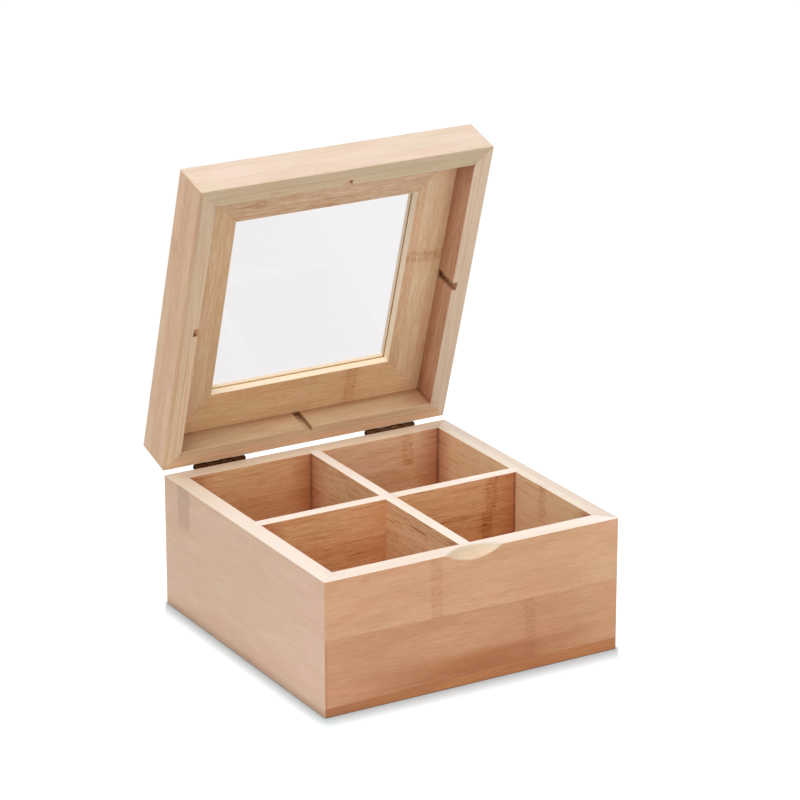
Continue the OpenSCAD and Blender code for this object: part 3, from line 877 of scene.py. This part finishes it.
dome = np.radians(np.linspace(0, 90, 6))
dome_h, dome_r = pin_half - leaf_half - dome_air, pin_r + dome_flare
end_at = pin_half - dome_h * (1 - np.cos(dome))
end_r = dome_r * np.sin(dome)
pin_at = np.concatenate([-end_at, [-end_at[-1], 0, end_at[-1]], end_at[::-1]])
pin_radius = np.concatenate([end_r, [pin_r, pin_r, pin_r], end_r[::-1]])
for label, side in hinge_sides.items():
    sheets = hinge_points([turned_round(pin_at, pin_radius)], side, 1, False)
    set_in_place(f"{label}_pin_wire", sheets, "base", f"{label}_hinge_pin", pin_brass)

# Hinge screws: small countersunk wood screws with crossed recesses, two to a leaf, driven into
# the boards from behind until their heads lie level with the leaf.
screw_len = (heads_high.y - heads_low.y) * MM
shank_r = 0.95
cross_half, cross_w, cross_depth = 1.05, 0.24, 0.5
thread_pitch, thread_depth = 0.8, 0.2
thread_from, thread_run_in = 2.2, 0.8
point_len = 2
rim_r = head_r - 0.10


def wood_screw():
    """Grids of (u, a, b) for a screw at the middle, its head's face at b = 0 and its point at its
    length. The face is a disc sunk where two arms cross: the depth falls off smoothly past each
    arm's half width and half length. Below, the radius follows the cone, then the shank less a
    thread whose crest climbs one pitch each turn, then the point."""
    angle = np.radians(np.linspace(0, 360, 97))
    disc = np.linspace(0, rim_r, 26)[:, None]
    u, a = disc * np.cos(angle), disc * np.sin(angle)

    def arm(along, across):
        def fall(value, half, soft):
            t = np.clip((half + soft - np.abs(value)) / soft, 0, 1)
            return t * t * (3 - 2 * t)
        return fall(along, cross_half, 0.12) * fall(across, cross_w, 0.1)

    sunk = np.maximum(arm(u, a), arm(a, u)) * cross_depth * (1 - 0.5 * disc / cross_half)
    face = np.stack([u, a, np.maximum(sunk, 0)], axis=-1)
    cone_at = [0, 0.02, 0.08, head_r - shank_r, screw_len - point_len, screw_len]
    cone_r = [rim_r, head_r - 0.05, head_r - 0.04, shank_r, shank_r, 0.0]
    shank = np.linspace(cone_at[3], cone_at[4], 60)
    point = np.linspace(cone_at[4] + 0.2, screw_len, 20)
    level = np.concatenate([cone_at[:3], shank, point])[:, None]
    cone = np.interp(level, cone_at, cone_r)
    climb = (level / thread_pitch - angle / (2 * math.pi)) % 1
    cut = thread_depth * np.clip(np.abs(climb * 2 - 1) * 1.5, 0, 1)
    threaded = np.clip((level - thread_from) / thread_run_in, 0, 1) * np.clip(cone / shank_r, 0, 1)
    radius = np.maximum(cone - cut * threaded, 0)
    level = np.broadcast_to(level, radius.shape)
    return [face, np.stack([radius * np.cos(angle), radius * np.sin(angle), level], axis=-1)]


def leaf_screws():
    """Both screws of one leaf, their crosses turned as they happened to stop."""
    sheets = []
    for way, turn in ((-1, 0.35), (1, 1.15)):
        spin = np.array([[math.cos(turn), math.sin(turn)], [-math.sin(turn), math.cos(turn)]])
        for sheet in wood_screw():
            plane = sheet[..., :2] @ spin + (way * screw_u, screw_a)
            sheets.append(np.concatenate([plane, sheet[..., 2:] + face_b], axis=-1))
    return sheets


screw_brass = antique_brass("screw_brass", (0.085, 0.055, 0.036, 1), (0.42, 0.30, 0.19, 1), 0.05)
screw_grids = leaf_screws()
for label, side in hinge_sides.items():
    sheets = hinge_points(screw_grids, side, -1, False)
    set_in_place(
        f"{label}_box_leaf_screws", sheets, "base", f"{label}_hinge_base_screws", screw_brass,
    )

# Lid rails: four mitred rails of the same two-ply bamboo, with the wood of the dividers' grooves
# bare and painted darker as shade. Their patterns are laid out on the closed lid, which the hinge turns
# back.


def closed_box(node):
    """Lowest and highest corners of one of the lid's nodes with the lid shut, in millimetres."""
    mesh = frame["nodes"][node].data
    points = np.empty(len(mesh.vertices) * 3)
    mesh.vertices.foreach_get("co", points)
    turn = np.array(to_closed)
    points = points.reshape(-1, 3) * MM @ turn[:3, :3].T + turn[:3, 3]
    return points.min(axis=0), points.max(axis=0)


lid_low, lid_high = closed_box("lid_front_rail")
lid_z, lid_h = lid_low[2], lid_high[2] - lid_low[2]
frame_low, frame_high = closed_box("window_frame_front")
frame_t = frame_high[2] - frame_low[2]
groove_half, groove_depth = 2.25, 2.8
groove_top = lid_h - frame_t
groove_brown = (0.16, 0.045, 0.015, 1)
rail_cream = (0.76, 0.64, 0.47, 1)
rail_tan = (0.88, 0.62, 0.39, 1)


def divider_groove(tree, place, colour):
    """The bare wood in the groove, painted darker the deeper it lies as shade, and painted shade along the
    joint with the frame.
    """
    x, y, z = place.parts()
    in_groove = abs(x).rise(groove_half + 0.05, groove_half - 0.05)
    in_groove = in_groove * y.over(wall_t - groove_depth - 0.2)
    deep = y.rise(wall_t - 0.1, wall_t - groove_depth * 0.7) * z.rise(0.02, 0.4)
    deep = deep * z.rise(groove_top + 0.3, groove_top)
    frame_joint_shade = z.rise(groove_top - 7, groove_top) * z.rise(groove_top + 0.5, groove_top)
    colour = blend_colours(tree, frame_joint_shade * y.over(ply_line) * 0.45, colour, shade_and_dust)
    return blend_colours(tree, in_groove * deep * 0.9, colour, groove_brown)


rim_at_front = (0.90, 0.89, 0.86, 1)
rim_at_hinge = (1.16, 1.14, 1.10, 1)
edge_tan = (0.86, 0.76, 0.66, 1)


def left_rail_marks(tree, place, colour):
    """The divider's groove, a rim that grows paler from the front to the hinge as a painted gradient
    of light, and a browner line along its outer edge."""
    x, y, z = place.parts()
    shade = blend_colours(tree, x.rise(75, -75), rim_at_front, rim_at_hinge)
    shaded = blend_colours(tree, 1.0, colour, shade, "MULTIPLY")
    colour = blend_colours(tree, on_level(z), colour, shaded)
    patchy = stretched(place, 40, 3).rise(-0.5, 0.3) * 0.5 + 0.5
    outer_edge = y.rise(2.2, 0.6) * z.rise(1.6, 0.4)
    colour = blend_colours(tree, outer_edge * patchy, colour, edge_tan, "MULTIPLY")
    return divider_groove(tree, place, colour)


rails = {
    # The front rail's outer ply is tinted much paler: partly its own tone, partly painted light on its face
    # turned up to the lamp
    "lid_front_rail": (
        0, strips((8, 17), (0, 0), (0.72, 0.74, 0.72), tint=(1.0, 1.28, 1.64), streaks=0.5),
        strips((9, 16), (0, 0), (0.55, 0.6, 0.62), (-40, -40, none), ringing=1.5),
        0.6, (0.47, 0.345, 0.18, 1), (0.57, 0.52, 0.34, 1),
    ),
    "lid_right_rail": (
        1, strips((8, 17), (0, 0), (0.6, 0.66, 0.62)),
        strips((8, 17), (0, 0), (0.52, 0.48, 0.46), tint=(1.12, 1.24, 1.48), streaks=1.2, veins=0.6),
        0.6, rail_cream, None,
    ),
    "lid_back_rail": (
        2, strips((7, 16), (0, 0), (0.6, 0.62, 0.66)),
        strips((5, 12), (0.01, 0), (0.66, 0.62, 0.54), tint=(0.86, 1.0, 1.02), streaks=1.2),
        0.5, rail_tan, None,
    ),
    "lid_left_rail": (
        3, strips((7, 15), (0.01, 0), (0.62, 0.57, 0.64), (-30, none, 40), (1.06, 1.20, 1.30)),
        strips((8, 17), (0, 0), (0.5, 0.5, 0.5)), 0.6, (0.66, 0.55, 0.41, 1), (0.78, 0.67, 0.49, 1),
    ),
}
for node, (side, outer, inner, rim_share, rim_colour, rim_inner) in rails.items():
    finish_with(node, bamboo_board(
        node + "_bamboo", board_frame(side, box_half, lid_z) @ to_closed, outer=outer, inner=inner,
        seed=11.0 + side, half_length=box_half, rims=[0.0, lid_h], rim_share=rim_share,
        rim_colour=rim_colour, rim_inner=rim_inner, rim_lines=1.0, rim_grain=0.16, rim_glue=0.45,
        corner_shade_share=0.6, extra=left_rail_marks if node == "lid_left_rail" else divider_groove,
    ))

# Window frame: four mitred members tongued into the rails, lying flat. Their edges towards the
# window are pale, made paler still as painted light, with the groove for the pane between two lips.
member_w = frame_high[1] - frame_low[1]
member_reach = -frame_low[1]
pane_low, pane_high = closed_box("window_pane")
pane_groove_y = frame_high[2] - 0.5 * (pane_low[2] + pane_high[2])
pane_groove_depth = 3.0
lip_pale_and_lit = (1.0, 0.84, 0.62, 1)
groove_painted_light = (1.0, 0.70, 0.38, 1)


def window_edge(tree, place, colour):
    """Pale wood on the edge round the window, lifted further as painted light, and a bright warm colour in
    the groove behind it, painted light where the groove lies in shade.
    """
    _, y, z = place.parts()
    on_edge = z.rise(member_w - 0.35, member_w - 0.1)
    groove_foot = member_w - pane_groove_depth
    in_groove = z.rise(groove_foot - 0.1, groove_foot + 0.1) * abs(y - pane_groove_y).rise(1.15, 0.98)
    colour = blend_colours(tree, on_edge * 0.92, colour, lip_pale_and_lit)
    return blend_colours(tree, in_groove * 0.9, colour, groove_painted_light)


member_seams = dict(seams=(7.5, 18), slopes=(0.01, -0.01))
members = {
    "window_frame_front": (0, strips(
        tones=(0.62, 0.66, 0.60), rings=(-38, -38, none), tint=(1.06, 1.26, 1.38),
        streaks=2.2, ringing=1.5, veins=0.3, **member_seams)),
    "window_frame_right": (1, strips(
        tones=(0.72, 0.76, 0.66), rings=(-11, -11, -12), tint=(1.11, 1.25, 1.23),
        streaks=1.5, ringing=2.4, veins=0.1, **member_seams)),
    "window_frame_back": (2, strips(
        tones=(0.77, 0.81, 0.77), rings=(-30, -30, -30), tint=(1.06, 1.05, 0.88),
        streaks=1.5, ringing=2.4, veins=0.1, **member_seams)),
    "window_frame_left": (3, strips(
        (11, 19), (0.01, -0.01), (0.62, 0.80, 0.74), tint=(1.03, 1.12, 1.06), streaks=1.5, veins=0.1)),
}
flat_member = Matrix.Translation((0, frame_t, 0)) @ lay_flat
for node, (side, inner) in members.items():
    finish_with(node, bamboo_board(
        node + "_bamboo", flat_member @ board_frame(side, member_reach, frame_low[2]) @ to_closed,
        outer=strips((9, 17), (0, 0), (0.60, 0.66, 0.60), (-30, none, 20)), inner=inner,
        seed=21.0 + side, ply_at=0.5 * frame_t, corner_from=far_off, extra=window_edge,
    ))

# Pane: clear glass with eased edges, slid into the frame's groove before the last member was
# glued on, with a hair's breadth of air on both faces. Its index is low, for faint reflections.
pane_half = pane_high[0]
pane_ease = 0.3
pane_air = 0.04
glass_tint = (0.873, 0.857, 0.865, 1)
glass_ior = 1.22


def sheet_of_glass():
    """A square sheet: a section from the middle of one face round the edge to the middle of the
    other, carried round the four corners."""
    low, high = pane_low[2] + pane_air, pane_high[2] - pane_air
    reach = np.array([0, pane_half - pane_ease, pane_half, pane_half, pane_half - pane_ease, 0])
    level = np.array([low, low, low + pane_ease, high - pane_ease, high, high])
    corner = np.array([(-1, -1), (1, -1), (1, 1), (-1, 1), (-1, -1)])[:, None]
    flat = corner * reach[:, None]
    upright = np.broadcast_to(level[:, None], (len(corner), len(level), 1))
    points = np.concatenate([flat, upright], axis=-1)
    turn = np.array(to_closed.inverted())
    return [points @ turn[:3, :3].T + turn[:3, 3]]


pane, tree, output = new_material("clear_glass")
surface = add(tree, "BsdfPrincipled", [
    ("Base Color", glass_tint), ("Roughness", 0.0), ("Transmission Weight", 1.0), ("IOR", glass_ior),
])
clear = add(tree, "BsdfTransparent")
shadow = add(tree, "LightPath").outputs["Is Shadow Ray"]
choice = add(tree, "MixShader", [(0, shadow), (1, surface.outputs[0]), (2, clear.outputs[0])])
plug(tree, output.inputs["Surface"], choice.outputs[0])
set_in_place("glass_pane", sheet_of_glass(), "lid", "window_pane", pane)

# Hinge leaves on the lid: the same stamped leaves the other way up, with the first and third
# knuckles, and screwed to the lid's back rail.
for label, side in hinge_sides.items():
    sheets = hinge_points(plate_grids + [knuckle(0), knuckle(2)], side, 1, True)
    set_in_place(
        f"{label}_lid_leaf", sheets, "lid", f"{label}_hinge_lid_leaf", hinge_brass[label],
    )
    sheets = hinge_points(screw_grids, side, 1, True)
    set_in_place(
        f"{label}_lid_leaf_screws", sheets, "lid", f"{label}_hinge_lid_screws", screw_brass,
    )

bpy.context.scene.view_settings.view_transform = "Standard"
